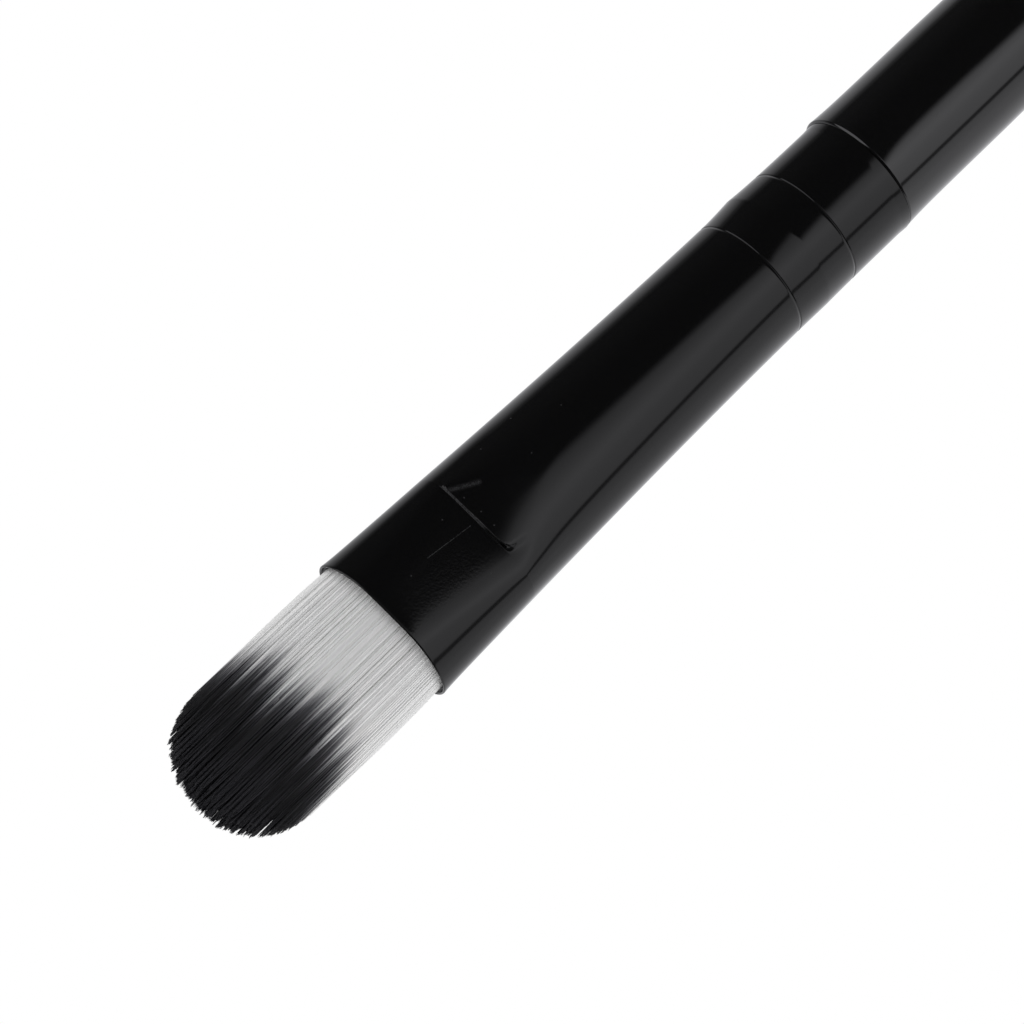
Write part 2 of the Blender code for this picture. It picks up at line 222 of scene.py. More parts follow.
def tuft_tree():
    tree = bpy.data.node_groups.new("tuft_of_filaments", "GeometryNodeTree")
    tree.interface.new_socket("Geometry", in_out="OUTPUT", socket_type="NodeSocketGeometry")
    for name in ("First", "Count", "Total"):
        tree.interface.new_socket(name, in_out="INPUT", socket_type="NodeSocketInt")
    for name in tuft_sizes:
        if name != "Total":
            tree.interface.new_socket(name, in_out="INPUT", socket_type="NodeSocketFloat")
    tree.interface.new_socket("Finish", in_out="INPUT", socket_type="NodeSocketMaterial")
    bench = Bench(tree)
    source = tree.nodes.new("NodeGroupInput")
    given = {end.name: Wire(bench, end) for end in source.outputs if end.name}

    def luck(low, high, seed):
        return bench.add("FunctionNodeRandomValue", {"data_type": "FLOAT"},
                         {"Min": low, "Max": high, "ID": number, "Seed": seed})

    def keep(geometry, name, value):
        return bench.add(
            "GeometryNodeStoreNamedAttribute", {"data_type": "FLOAT", "domain": "POINT"},
            {"Geometry": geometry, "Name": name, "Value": value})

    def kept(name):
        return bench.add("GeometryNodeInputNamedAttribute", {"data_type": "FLOAT"}, {"Name": name})

    # Where each filament stands in the knot: a golden turn apart, and closer towards its skin.
    number = bench.add("GeometryNodeInputIndex") + given["First"]
    ring = ((number + 0.5) / given["Total"]) ** CROWDING
    turn = number * (math.pi * (3 - math.sqrt(5)))
    points = bench.add("GeometryNodePoints", None, {"Count": given["Count"]})
    points = keep(points, "side",
                  ring * turn.math("COSINE") + luck(-STANDING_LUCK, STANDING_LUCK, 1))
    points = keep(points, "face",
                  ring * turn.math("SINE") + luck(-STANDING_LUCK, STANDING_LUCK, 2))
    points = keep(points, "length_luck", luck(-1.0, 1.0, 3))
    points = keep(points, "side_luck", luck(-1.0, 1.0, 4))
    points = keep(points, "dye_luck", luck(0.0, 1.0, 5))
    points = keep(points, "tone", luck(0.0, 1.0, 6))

    line = bench.add("GeometryNodeCurvePrimitiveLine", None, {"End": (1, 0, 0)})
    line = bench.add("GeometryNodeResampleCurve", {"mode": "COUNT"},
                     {"Curve": line, "Count": FILAMENT_POINTS})
    strands = bench.add("GeometryNodeInstanceOnPoints", None, {"Points": points, "Instance": line})
    strands = bench.add("GeometryNodeRealizeInstances", None, {"Geometry": strands})

    # The dome: filaments at the sides and on the faces are shorter.
    side = kept("side")
    face = kept("face")
    rise = (1 - side.math("MULTIPLY", side)).math("MAXIMUM", 0.0).math("SQRT")
    reach = given["Dome start"] + given["Dome length"] * rise
    reach = reach - given["Chisel"] * abs(face) ** CHISEL_POWER
    knot = bench.vector(side * given["Mouth half width"], face * LOCK_FLATNESS, 0.0)
    lock = {"Vector": knot, "Scale": 1.0 / given["Lock pitch"]}
    lock_luck = bench.parts(bench.add("ShaderNodeTexVoronoi", None, lock, "Color"))
    lock_centre = bench.parts(bench.add("ShaderNodeTexVoronoi", None, lock, "Position"))
    reach = reach + (lock_luck[0] - 0.5) * LOCK_REACH_LUCK + kept("length_luck") * REACH_LUCK

    # Along the filament, with the points closer together towards its tip.
    part = 1 - (1 - bench.add("GeometryNodeSplineParameter")) ** POINTS_TOWARDS_TIP
    station = given["Root"] - (reach + given["Root"]) * part
    out = (-station).math("MAXIMUM", 0.0) / given["Reach"]
    width = given["Mouth half width"] + RELEASE * (1 - (out * -RELEASE_RATE).math("EXPONENT"))
    width = width + given["Fan"] * out
    thickness = (given["Mouth half thickness"] + given["Belly"] * out
                 - given["Thinning"] * out * out * out)
    drift = bench.parts(bench.add("ShaderNodeTexNoise", None, {
        "Vector": bench.vector(side * DRIFT_ACROSS, face * DRIFT_THROUGH, out * DRIFT_ALONG),
        "Scale": 1.0, "Detail": 2.0}, "Color"))
    at_side = side * width + (drift[0] - 0.5) * 2.0 * given["Wander"] * out
    at_side = at_side + kept("side_luck") * SIDE_LUCK * out
    at_face = face * thickness + (drift[1] - 0.5) * given["Wander"] * out
    pull = given["Lock pull"] * bench.ramp(part, PULL_START, 1.0)
    pull = pull * bench.ramp(abs(side), *PULL_SIDES)
    at_side = at_side + (lock_centre[0] - side * given["Mouth half width"]) * pull
    strands = bench.add("GeometryNodeSetPosition", None, {
        "Geometry": strands, "Position": bench.vector(station, at_side, at_face)})

    # How far the dye has crept up across the face, side to side, and in each lock.
    creep = bench.add("ShaderNodeFloatCurve", {"curve": [
        (place, depth / DYE_FARTHEST) for place, depth in DYE_LINE]}, {"Value": side * 0.5 + 0.5})
    patch = bench.noise(bench.vector(side * PATCH_ACROSS, face * PATCH_THROUGH, 0.0), 1.0)
    stray = (kept("dye_luck") - STRAY_FROM).math("MAXIMUM", 0.0) * STRAY_RATE
    line_at = creep * DYE_FARTHEST + (patch - 0.5) * bench.ramp(face, *PATCH_CREEP)
    line_at = line_at + (lock_luck[1] - 0.5) * LOCK_CREEP
    line_at = line_at + (kept("dye_luck") - 0.5) * FILAMENT_CREEP - stray
    strands = keep(strands, "beyond_dye_line", -station - line_at)

    profile = bench.add("GeometryNodeCurvePrimitiveCircle", {"mode": "RADIUS"},
                        {"Resolution": FILAMENT_SIDES, "Radius": given["Radius"]})
    mesh = bench.add("GeometryNodeCurveToMesh", None, {
        "Curve": strands, "Profile Curve": profile, "Fill Caps": True,
        "Scale": bench.ramp(part, TAPER_FROM, 1.0, 1.0, TIP_WIDTH)})
    mesh = bench.add("GeometryNodeSetShadeSmooth", None, {"Geometry": mesh})
    mesh = bench.add("GeometryNodeRealizeInstances", None, {"Geometry": mesh})
    mesh = bench.add("GeometryNodeSetMaterial", None,
                     {"Geometry": mesh, "Material": given["Finish"]})
    sink = tree.nodes.new("NodeGroupOutput")
    tree.links.new(mesh.socket, sink.inputs[0])
    return tree


def new_finish(name, **constants):
    """A finish with one Principled shader. Gives the material, its bench and the shader."""
    material = bpy.data.materials.new(name)
    material.use_nodes = True
    shader = material.node_tree.nodes["Principled BSDF"]
    for socket, value in constants.items():
        shader.inputs[socket.replace("_", " ")].default_value = value
    return material, Bench(material.node_tree), shader


def feed(shader, name, wire):
    wire.bench.tree.links.new(wire.socket, shader.inputs[name])


DYE_FADE = 4.2
TONE_SHIFT = 0.06
TONE_SHADE = 0.04
# From 3.4 to 5.2 mm past the dye line the colour is made up to 2.2 times lighter, towards the
# tips.
TIP_LIGHTENING = (3.4, 5.2, 1.0, 2.2)
filament_finish, bench, shader = new_finish("dyed_nylon_filament", Roughness=0.42, IOR=1.53)
beyond = bench.add("ShaderNodeAttribute", {"attribute_name": "beyond_dye_line"}, None, "Fac")
tone = bench.add("ShaderNodeAttribute", {"attribute_name": "tone"}, None, "Fac")
dyed = bench.add("ShaderNodeValToRGB", {"stops": [
    (0.0, (0.88, 0.88, 0.86)), (0.25, (0.68, 0.68, 0.67)), (0.5, (0.24, 0.24, 0.245)),
    (0.72, (0.056, 0.055, 0.061)), (1.0, (0.0158, 0.0155, 0.018))]},
    {"Fac": beyond / DYE_FADE + 0.5 + (tone - 0.5) * TONE_SHIFT})
shade = bench.vector(*[(1 - (1 - tone) * TONE_SHADE) * bench.ramp(beyond, *TIP_LIGHTENING)] * 3)
feed(shader, "Base Color", bench.add(
    "ShaderNodeMix", {"data_type": "RGBA", "blend_type": "MULTIPLY"},
    {"Factor": 1.0, "A": dyed, "B": shade}))


def made_by(tree, name, values):
    """A plain mesh object in the brush's place, made by a geometry tree with these inputs."""
    piece = bpy.data.objects.new(name, bpy.data.meshes.new(name))
    bpy.context.scene.collection.objects.link(piece)
    maker = piece.modifiers.new("maker", "NODES")
    maker.node_group = tree
    for socket in tree.interface.items_tree:
        if socket.item_type == "SOCKET" and socket.name in values:
            maker[socket.identifier] = values[socket.name]
    bpy.context.view_layer.update()
    graph = bpy.context.evaluated_depsgraph_get()
    mesh = bpy.data.meshes.new_from_object(
        piece.evaluated_get(graph), preserve_all_data_layers=True, depsgraph=graph)
    piece.modifiers.remove(maker)
    piece.data = mesh
    mesh.name = name
    mesh.transform(laid)
    return piece


filament_tree = tuft_tree()
share = FILAMENTS // PIECES
for index, name in enumerate(("tuft_heart", "tuft_middle", "tuft_faces")):
    piece = made_by(filament_tree, name, {
        **tuft_sizes, "First": index * share, "Count": share, "Finish": filament_finish})
    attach(piece, "root")
    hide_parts("tuft")


# The filaments' roots, set solid with resin inside the ferrule.
def laid_mesh(name, points, faces, material):
    """A smooth piece from its points in millimetres, laid in the brush's place."""
    mesh = bpy.data.meshes.new(name)
    mesh.from_pydata([tuple(point) for point in points], [], faces)
    mesh.transform(laid)
    mesh.materials.append(material)
    mesh.shade_smooth()
    mesh.update()
    piece = bpy.data.objects.new(name, mesh)
    bpy.context.scene.collection.objects.link(piece)
    return piece


def loft(rings):
    """Points and faces of a closed skin over rings of points, from one closed end to the other."""
    count = len(rings[0])
    points = [point for ring in rings for point in ring]
    faces = []
    for lap in range(len(rings) - 1):
        for step in range(count):
            corner = lap * count + step
            beside = lap * count + (step + 1) % count
            faces.append((corner, beside, beside + count, corner + count))
    faces.append(tuple(reversed(range(count))))
    faces.append(tuple((len(rings) - 1) * count + step for step in range(count)))
    return points, faces


ROOT_SECTIONS = (
    (1.2, 4.2, 2.45), (1.5, 4.22, 2.52), (9.0, 4.22, 2.52), (9.5, 4.1, 2.45), (9.9, 3.2, 2.0),
    (10.2, 2.9, 1.8), (14.1, 2.9, 1.8), (14.3, 2.8, 1.7))
ROOT_SIDES = 96
ROOT_FLUTES = 47
FLUTE_DEPTH = 0.012
rings = []
for station, half_width, half_thickness in ROOT_SECTIONS:
    rings.append([
        (station,
         half_width * math.cos(turn) * (1 + FLUTE_DEPTH * math.cos(ROOT_FLUTES * turn)),
         half_thickness * math.sin(turn) * (1 + FLUTE_DEPTH * math.cos(ROOT_FLUTES * turn)))
        for turn in (step * math.tau / ROOT_SIDES for step in range(ROOT_SIDES))])
ROOT_STREAK = (120, 9000, 9000)
root_finish, bench, shader = new_finish("resin_set_roots", Roughness=0.5)
place = bench.add("ShaderNodeTexCoord", None, None, "Object")
streak = bench.noise(bench.add("ShaderNodeMapping", None, {
    "Vector": place, "Scale": ROOT_STREAK}), 1.0)
feed(shader, "Base Color", bench.add("ShaderNodeValToRGB", {"stops": [
    (0.35, (0.42, 0.41, 0.38)), (0.65, (0.62, 0.61, 0.58))]}, {"Fac": streak}))
root_block = laid_mesh("tuft_roots", *loft(rings), root_finish)
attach(root_block, "root")
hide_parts("tuft")


# ---- The binding thread and the root plug ------------------------------------------------------
# Four turns of waxed thread tie the knot of filaments, and a plug of clear resin poured in behind
# the knot holds it in the ferrule. Both are hidden once the brush is put together.
PLY_SCALE = 1400.0
PLY_RELIEF = 0.00004
thread_finish, bench, shader = new_finish("waxed_thread", Roughness=0.7)
place = bench.add("ShaderNodeTexCoord", None, None, "Object")
ply = bench.add("ShaderNodeTexWave", {"bands_direction": "DIAGONAL"}, {
    "Vector": place, "Scale": PLY_SCALE, "Distortion": 1.0})
feed(shader, "Base Color", bench.add("ShaderNodeValToRGB", {"stops": [
    (0.0, (0.5, 0.46, 0.38)), (1.0, (0.74, 0.70, 0.62))]}, {"Fac": ply}))
feed(shader, "Normal", bench.add("ShaderNodeBump", None, {
    "Strength": 0.6, "Distance": PLY_RELIEF, "Height": ply}))
frame["nodes"]["binding_thread"].data.materials.clear()
frame["nodes"]["binding_thread"].data.materials.append(thread_finish)

resin_finish, bench, shader = new_finish("amber_resin", Roughness=0.2, IOR=1.54)
place = bench.add("ShaderNodeTexCoord", None, None, "Object")
cloud = bench.noise(place, 900.0, 4.0)
feed(shader, "Base Color", bench.add("ShaderNodeValToRGB", {"stops": [
    (0.3, (0.36, 0.21, 0.07)), (0.7, (0.52, 0.35, 0.14))]}, {"Fac": cloud}))
frame["nodes"]["root_plug"].data.materials.clear()
frame["nodes"]["root_plug"].data.materials.append(resin_finish)


# ---- The ferrule -------------------------------------------------------------------------------
# A seamless aluminium tube lacquered gloss black. Its front is pressed to a flat oval over a
# mandrel, which leaves a crease across each face, and two rings rolled in lock it to the handle.
TUBE_RADIUS = 4.0
WALL = 0.35
RIM = 0.16
RIM_DEPTH = 1.2
FERRULE_LENGTH = 39.38
MOUTH_HALF_WIDTH = 4.87
TAPER_LENGTH = 30.3
TAPER_POWER = 1.5
SPRING_BACK = 0.3955
SPRING_BACK_POWER = 4.2
LIP_FLARE = 0.05
LIP_LENGTH = 0.5
LIP_ROUND = 0.12
CREASE_STATION = 7.45
CREASE_WIDTH = 0.03
CREASE_SOFTENING = 12.0
CREASE_SOFTENING_POWER = 12
CREASE_OFFSET = 0.215
CREASE_END = 0.535
CREASE_END_WIDTH = 3.6
CREASE_END_RATE = 28.0
CREASE_NICKS = 0.04
NICK_WAVES = (13, 29, 47, 71)
FACE_TURN = math.radians(2.36)
FACE_DEPTH = 0.2265
CREASE_DEPTH = 0.452
CREASE_FADE = 5.53
FACE_BLEND = 0.995
STEP_TURN = math.radians(6.49)
STEP_DEPTH = 0.161
STEP_FADE = 3.77
STEP_FADE_POWER = 2.5
STEP_BLEND = 1.185
FRONT_SQUARENESS = -0.6
CREASE_SQUARENESS = 0.633
STEP_SQUARENESS = 0.906
SQUARE_FADE_FRONT = 9.11
SQUARE_FADE_BACK = 1.67
END_BELL = 0.035
END_BELL_LENGTH = 0.6
RING_STATIONS = (30.18, 34.78)
RING_DEPTH = 0.036
RING_ROLL = 0.09
RING_EDGE = 0.04
RIDGE_START = 30.5
RIDGE_STATION = 32.5
RIDGE_HEIGHT = 0.06
RIDGE_RISE_POWER = 1.5
RIDGE_FADE = 2.0
RIDGE_SIDE = math.radians(40)
REAR_SLIMMING = 0.04
SET_OVER = 0.085
END_CHAMFER = 0.02
LIP_STEPS = 6
FERRULE_SIDES = 192


def half_width_at(station):
    spread = max(0.0, 1.0 - station / TAPER_LENGTH) ** TAPER_POWER
    return TUBE_RADIUS + (MOUTH_HALF_WIDTH - TUBE_RADIUS) * spread


def half_thickness_at(station):
    """Nearly the girth of the tube: it is thinner where it is wider, and springs back a little."""
    width = half_width_at(station)
    thickness = 2 * TUBE_RADIUS - width
    for _ in range(4):
        flatness = ((width - thickness) / (width + thickness)) ** 2
        thickness = 2 * TUBE_RADIUS / (1 + flatness / 4) - width
    sprung = max(0.0, 1.0 - station / TAPER_LENGTH) ** SPRING_BACK_POWER
    return thickness + SPRING_BACK * sprung


def pressing_at(station, width):
    """How deep the press left a face, how far turned, how softly edged, and how square the tube.

    The crease is a step from the pressed front to the tube behind it, over this width."""
    away = abs(station - CREASE_STATION)
    fade = math.exp(-away / SQUARE_FADE_FRONT)
    before = (
        FACE_DEPTH + (CREASE_DEPTH - FACE_DEPTH) * math.exp(-away / CREASE_FADE),
        FACE_TURN, FACE_BLEND,
        FRONT_SQUARENESS + (CREASE_SQUARENESS - FRONT_SQUARENESS) * fade)
    after = (
        STEP_DEPTH * math.exp(-(away / STEP_FADE) ** STEP_FADE_POWER),
        STEP_TURN, STEP_BLEND,
        STEP_SQUARENESS * math.exp(-away / SQUARE_FADE_BACK))
    behind = min(max((station - CREASE_STATION) / width, 0.0), 1.0)
    behind = behind ** 2 * (3 - 2 * behind)
    return [early + (late - early) * behind for early, late in zip(before, after)]


def rolled_at(station):
    """How far the flared lip, the rings and the belled end stand out from the plain tube."""
    lip = LIP_FLARE * math.exp(-station / LIP_LENGTH)
    bell = END_BELL * max(0.0, 1.0 - abs(FERRULE_LENGTH - station) / END_BELL_LENGTH)
    return lip + bell - RING_DEPTH * sum(
        math.exp(-((station - ring) / (RING_ROLL if station < ring else RING_EDGE)) ** 2)
        for ring in RING_STATIONS)


def ridge_at(station, turn):
    """The ridge that the first ring threw up, highest on one side, and the slimmer tube behind."""
    height = RIDGE_HEIGHT * (1 + math.cos(turn - RIDGE_SIDE))
    if station < RIDGE_STATION:
        rise = max(0.0, station - RIDGE_START) / (RIDGE_STATION - RIDGE_START)
        return height * rise ** RIDGE_RISE_POWER
    fall = math.exp((RIDGE_STATION - station) / RIDGE_FADE)
    return (height + REAR_SLIMMING) * fall - REAR_SLIMMING


def softly_limited(height, limit, blend):
    overlap = max(blend - abs(height - limit), 0.0) / blend
    return min(height, limit) - overlap ** 2 * blend / 4


def ferrule_ring(station, inset):
    """The tube's section, this far inside its skin. Its crease lies further back on the inside,
    and the whole tube drifts to one side of the handle's line towards its end."""
    ring = []
    for step in range(FERRULE_SIDES):
        turn = step * math.tau / FERRULE_SIDES
        outwards = rolled_at(station) + ridge_at(station, turn) - inset
        half_width = half_width_at(station) + outwards
        half_thickness = half_thickness_at(station) + outwards
        nick = sum(math.sin(k * turn + k * k) for k in NICK_WAVES) / len(NICK_WAVES)
        pressed_at = station - inset + CREASE_NICKS * nick
        past_end = abs(math.cos(turn) - CREASE_OFFSET) - CREASE_END
        width = (CREASE_WIDTH
                 + CREASE_SOFTENING * abs(math.cos(turn)) ** CREASE_SOFTENING_POWER
                 + CREASE_END_WIDTH / (1 + math.exp(-CREASE_END_RATE * past_end)))
        depth, face_turn, blend, squareness = pressing_at(pressed_at, width)
        bend = 2 / (2 + squareness)
        across_at = half_width * math.copysign(abs(math.cos(turn)) ** bend, math.cos(turn))
        up_at = half_thickness * math.copysign(abs(math.sin(turn)) ** bend, math.sin(turn))
        face = (math.sin(face_turn), math.cos(face_turn))
        height = across_at * face[0] + up_at * face[1]
        limit = math.hypot(half_width * face[0], half_thickness * face[1]) - depth
        pressed = softly_limited(abs(height), limit, blend * depth + 1e-4)
        moved = math.copysign(pressed, height) - height
        beside = across_at + moved * face[0] - SET_OVER * station / FERRULE_LENGTH
        ring.append((station, beside, up_at + moved * face[1]))
    return ring


def spaced(start, end, count):
    return [start + (end - start) * step / count for step in range(count)]


# Where each run of sections starts and how many it has. They lie closest at the crease, at the
# rings and at the end.
RUNS = (
    (LIP_ROUND, 14), (1.6, 24), (6.8, 8), (7.35, 20), (7.65, 4), (7.9, 10), (8.6, 36), (14.0, 40),
    (29.88, 8), (30.12, 16), (30.28, 24), (RIDGE_STATION, 20), (34.48, 8), (34.72, 16),
    (34.88, 15), (38.7, 6), (FERRULE_LENGTH - 0.08, 3), (FERRULE_LENGTH - END_CHAMFER, 0))
outer_stations = [station for (start, count), (end, _) in zip(RUNS, RUNS[1:])
                  for station in spaced(start, end, count)]
inner_stations = [station for station in outer_stations[::3] if station > 0.3]
rings = [ferrule_ring(LIP_ROUND * (1 - math.cos(a)), RIM / 2 - (RIM / 2) * math.sin(a))
         for a in spaced(0.0, math.pi / 2, LIP_STEPS)]
rings += [ferrule_ring(station, 0.0) for station in outer_stations]
rings += [ferrule_ring(FERRULE_LENGTH - END_CHAMFER, 0.0),
          ferrule_ring(FERRULE_LENGTH, END_CHAMFER), ferrule_ring(FERRULE_LENGTH, WALL)]
rings += [ferrule_ring(station, WALL - (WALL - RIM) * max(0.0, 1 - station / RIM_DEPTH))
          for station in reversed(inner_stations)]
rings += [ferrule_ring(LIP_ROUND * (1 - math.cos(a)), RIM / 2 + (RIM / 2) * math.sin(a))
          for a in reversed(spaced(0.0, math.pi / 2, LIP_STEPS)[1:])]
points = [point for ring in rings for point in ring]
faces = []
for lap in range(len(rings)):
    ahead = (lap + 1) % len(rings)
    for step in range(FERRULE_SIDES):
        beside = (step + 1) % FERRULE_SIDES
        faces.append((lap * FERRULE_SIDES + step, lap * FERRULE_SIDES + beside,
                      ahead * FERRULE_SIDES + beside, ahead * FERRULE_SIDES + step))

# The lacquer and its marks: strokes from place to place, station and side, with their half width.
LACQUER = 0.0056
BARED = 0.02
BARED_ROUGHNESS = 0.3
BARE_METAL = 0.5
BARE_METAL_ROUGHNESS = 0.35
SCRATCH = ((3.9, 1.03), (7.0, 0.68), 0.045)
RUB = ((7.62, 2.9), (9.1, 2.1), 0.24)
SPECKS = ((2.5, 0.94), (6.1, 2.0), (5.9, -2.0), (7.85, 2.05), (7.95, 0.83), (7.9, -0.22),
          (10.8, 3.4), (13.4, 3.5), (15.7, 2.05), (12.4, 1.25))
SPECK_RADIUS = 0.085
BENT_STATION = CREASE_STATION + 0.02
BENT_WIDTH = (0.06, 0.02)
BENT_ENDS = ((-1.4, -1.0), (3.6, 3.1))
BENT_STRONGER = (-0.3, 0.8, 0.3, 1.0)
CRACKS = (0.4, 0.54, 0.3, 1.6)
CRACK_ROUGHNESS = (0.42, 0.55, 0.85, 0.3)
PEEL = 9.0
PEEL_STATIONS = (8.0, 5.0)
PEEL_MIDDLE = -0.65
PEEL_WIDTH = (1.5, 0.6)
LACQUER_RELIEF = 0.0000006
ferrule_finish, bench, shader = new_finish("black_lacquer_on_metal", IOR=1.5)
LEAN = math.atan2(-along.z, along.x)
place = bench.add("ShaderNodeMapping", {"vector_type": "TEXTURE"}, {
    "Vector": bench.add("ShaderNodeTexCoord", None, None, "Object"),
    "Location": mouth_centre, "Rotation": (0, LEAN, 0), "Scale": (MM, MM, MM)})
station, aside, height = bench.parts(place)


def stroke(start, end, width):
    """One over a straight stroke across the upper face, fading out over its half width."""
    run = (end[0] - start[0], end[1] - start[1])
    ahead = (station - start[0]) * run[0] + (aside - start[1]) * run[1]
    part = bench.ramp(ahead / max(run[0] ** 2 + run[1] ** 2, 1e-6), 0.0, 1.0, smooth=False)
    off = [(station - start[0] - part * run[0]), (aside - start[1] - part * run[1])]
    far = (off[0].math("MULTIPLY", off[0]) + off[1].math("MULTIPLY", off[1])).math("SQRT")
    return bench.ramp(far, width, 0.0) * height.math("GREATER_THAN", 0.0)


fleck = bench.noise(place, 9.0, 3.0)
bared = stroke(*SCRATCH) * bench.ramp(fleck, 0.35, 0.6, 0.3, 1.1)
bared = bared.math("MAXIMUM", stroke(*RUB) * bench.ramp(fleck, 0.3, 0.7, 0.5, 1.0))
for speck in SPECKS:
    bared = bared.math("MAXIMUM", stroke(speck, speck, SPECK_RADIUS))
# The lacquer has cracked along the crease, most towards the far end.
bent = bench.ramp(abs(station - BENT_STATION), *BENT_WIDTH)
bent = bent * bench.ramp(aside, *BENT_ENDS[0]) * bench.ramp(aside, *BENT_ENDS[1])
bent = bent * bench.ramp(aside, *BENT_STRONGER) * height.math("GREATER_THAN", 0.0)
bared = bared.math("MAXIMUM", bent * bench.ramp(fleck, *CRACKS))
bare = bench.add("ShaderNodeAttribute", {"attribute_name": "bare_inside"}, None, "Fac")
shade = LACQUER + BARED * bared + bare * (BARE_METAL + bench.noise(place, 2.0, 2.0) * 0.15)
feed(shader, "Base Color", bench.vector(shade, shade, shade * 1.03))
roughness = 0.06 + bench.noise(place, 3.0, 4.0) * 0.05 + BARED_ROUGHNESS * bared
roughness = roughness + bent * bench.ramp(fleck, *CRACK_ROUGHNESS)
feed(shader, "Roughness", roughness.math("MAXIMUM", BARE_METAL_ROUGHNESS * bare))
feed(shader, "Metallic", bare)
mottled = bench.ramp(station, *PEEL_STATIONS)
mottled = mottled * bench.ramp(abs(aside - PEEL_MIDDLE), *PEEL_WIDTH)
peel = bench.noise(place, 6.0, 3.0) * mottled
flow = bench.noise(place, 1.2, 2.0) + peel * PEEL
feed(shader, "Normal", bench.add("ShaderNodeBump", None, {
    "Strength": 1.0, "Distance": LACQUER_RELIEF, "Height": flow}))
ferrule = laid_mesh("ferrule_shell", points, faces, ferrule_finish)
last_inside = len(rings) - LIP_STEPS
first_inside = last_inside + 1 - len(inner_stations)
ferrule.data.attributes.new("bare_inside", "FLOAT", "POINT").data.foreach_set("value", [
    float(first_inside <= lap <= last_inside)
    for lap in range(len(rings)) for _ in range(FERRULE_SIDES)])
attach(ferrule, "root")
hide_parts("ferrule")


# ---- The handle and the glue on its tenon ------------------------------------------------------
# Birch turned on a lathe, with a tenon glued into the ferrule and a soft-edged collar against the
# ferrule's end. It is dipped in gloss black lacquer, tapers evenly, and ends in a rounded butt.
glue_finish, bench, shader = new_finish("clear_glue", Roughness=0.25, IOR=1.48)
place = bench.add("ShaderNodeTexCoord", None, None, "Object")
feed(shader, "Base Color", bench.add("ShaderNodeValToRGB", {"stops": [
    (0.3, (0.52, 0.42, 0.22)), (0.7, (0.66, 0.57, 0.36))]},
    {"Fac": bench.noise(place, 700.0, 3.0)}))
frame["nodes"]["tenon_adhesive"].data.materials.clear()
frame["nodes"]["tenon_adhesive"].data.materials.append(glue_finish)

GLUE_THICKNESS = 0.15
FIT_GAP = 0.05
TENON_FRONT = 28.0
TENON_CHAMFER = 0.6
SHOULDER = 39.4
GRIP_RADIUS = 3.95
GRIP_TAPER_START = 48.0
BEAD_HEIGHT = 0.11
BEAD_FADE = 1.3
BEAD_ROUND = 0.13
BEAD_RISE = 0.12
BEAD_BEVEL = 1.5
BUTT_RADIUS = 3.2
BUTT_ROUND = 3.2
BUTT_FLAT_RADIUS = 1.5
HANDLE_SIDES = 128


def tenon_radius_at(station):
    return TUBE_RADIUS - WALL - GLUE_THICKNESS - 2 * FIT_GAP + rolled_at(station) - REAR_SLIMMING


def grip_radius_at(station):
    bead = BEAD_HEIGHT * math.exp((FERRULE_LENGTH - station) / BEAD_FADE)
    taper = max(0.0, station - GRIP_TAPER_START) / (HANDLE_END - BUTT_ROUND - GRIP_TAPER_START)
    return GRIP_RADIUS + bead + (BUTT_RADIUS - GRIP_RADIUS) * taper


grip_start = SHOULDER + BEAD_ROUND
cone_end = HANDLE_END - BUTT_ROUND
outline = [(TENON_FRONT, 0.0), (TENON_FRONT, tenon_radius_at(TENON_FRONT) - TENON_CHAMFER)]
outline += [(s, tenon_radius_at(s)) for s in spaced(TENON_FRONT + TENON_CHAMFER, SHOULDER, 60)]
outline += [(SHOULDER, tenon_radius_at(SHOULDER))]
outline += [(SHOULDER + BEAD_ROUND * (1 - math.cos(a) ** BEAD_BEVEL),
             grip_radius_at(grip_start) - BEAD_RISE * (1 - math.sin(a) ** BEAD_BEVEL))
            for a in spaced(0.0, math.pi / 2, 12)]
outline += [(s, grip_radius_at(s)) for s in spaced(grip_start, grip_start + 0.1, 3)
            + spaced(grip_start + 0.1, GRIP_TAPER_START, 30)
            + spaced(GRIP_TAPER_START, cone_end, 50)]
outline.append((cone_end, BUTT_RADIUS))
for a in spaced(0.0, math.pi / 2, 24)[1:]:
    outline.append((cone_end + BUTT_ROUND * math.sin(a),
                    BUTT_FLAT_RADIUS + (BUTT_RADIUS - BUTT_FLAT_RADIUS) * math.cos(a)))
outline.append((HANDLE_END, BUTT_FLAT_RADIUS))
rings = [[(station, radius * math.cos(turn), radius * math.sin(turn))
          for turn in (step * math.tau / HANDLE_SIDES for step in range(HANDLE_SIDES))]
         for station, radius in outline[1:]]
handle_finish, bench, shader = new_finish(
    "black_lacquer_on_wood", IOR=1.7, Roughness=0.06, Base_Color=(0.0058, 0.0058, 0.0060, 1))
place = bench.add("ShaderNodeMapping", {"vector_type": "TEXTURE"}, {
    "Vector": bench.add("ShaderNodeTexCoord", None, None, "Object"),
    "Location": mouth_centre, "Rotation": (0, LEAN, 0), "Scale": (MM, MM, MM)})
flow = bench.noise(place, 0.8, 2.0)
feed(shader, "Normal", bench.add("ShaderNodeBump", None, {
    "Strength": 1.0, "Distance": LACQUER_RELIEF, "Height": flow}))
feed(shader, "Roughness", 0.05 + bench.noise(place, 3.0, 4.0) * 0.04)
handle = laid_mesh("handle_turned", *loft(rings), handle_finish)
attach(handle, "root")
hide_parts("handle")


